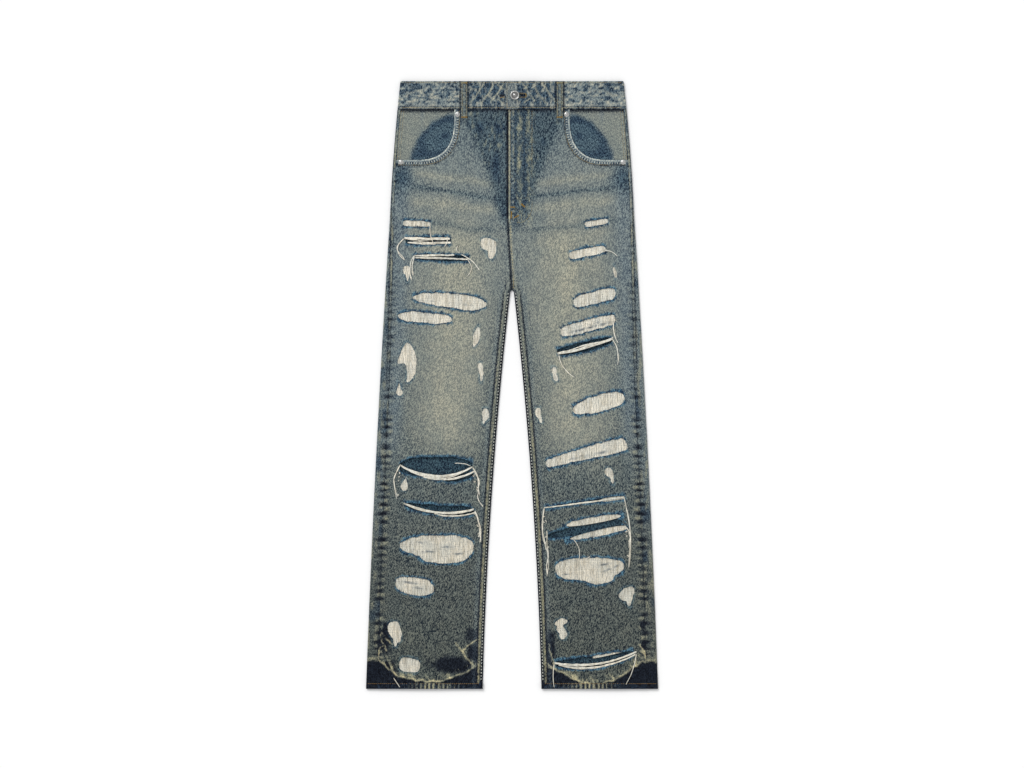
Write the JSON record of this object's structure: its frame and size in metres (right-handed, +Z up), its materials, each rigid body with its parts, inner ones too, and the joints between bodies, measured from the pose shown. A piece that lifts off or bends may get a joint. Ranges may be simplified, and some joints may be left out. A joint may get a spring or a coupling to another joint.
{
  "type": "ripped jeans",
  "caption": "Distressed straight-leg denim jeans laid flat, face up, with bridged rips down the fronts, a buttoned waistband, belt loops, riveted scoop pockets and back patch pockets.",
  "frame": {"origin": "on the surface the garment lies on, under the middle of its outline", "axes": "+Z up off the surface, +Y from the hems to the waist, +X to the wearer's left"},
  "size_m": [0.5258, 1.094, 0.0125],
  "materials": {
    "denim": "washed twill, faded on the thighs",
    "yarn": "undyed cotton yarn, matt",
    "metal": "satin nickel"
  },
  "bodies": {
    "root": {"back_right": "denim", "back_left": "denim", "yoke_right": "denim", "yoke_left": "denim", "back_pocket_right": "denim", "back_pocket_left": "denim", "front_right": "denim", "front_left": "denim", "fly_shield": "denim", "pocket_facing_right": "denim", "pocket_facing_left": "denim", "front_loop_right": "denim", "front_loop_left": "denim", "back_loop_right": "denim", "back_loop_centre": "denim", "back_loop_left": "denim", "waistband": "denim", "yarns_right_hip_slit": "yarn", "yarns_right_thigh_slit": "yarn", "yarns_right_thigh_lens": "yarn", "yarns_right_thigh_patch": "yarn", "yarns_right_thigh_side": "yarn", "yarns_right_knee_slit": "yarn", "yarns_right_shin_slit": "yarn", "yarns_right_shin_patch": "yarn", "yarns_right_calf_patch": "yarn", "yarns_left_hip_slit": "yarn", "yarns_left_thigh_capsule": "yarn", "yarns_left_thigh_patch": "yarn", "yarns_left_thigh_slit": "yarn", "yarns_left_knee_patch": "yarn", "yarns_left_knee_band": "yarn", "yarns_left_shin_slit": "yarn", "yarns_left_shin_patch": "yarn", "yarns_left_hem_slit": "yarn", "waist_button": "metal", "rivet_upper_right": "metal", "rivet_lower_right": "metal", "rivet_upper_left": "metal", "rivet_lower_left": "metal"}
  },
  "joints": []
}
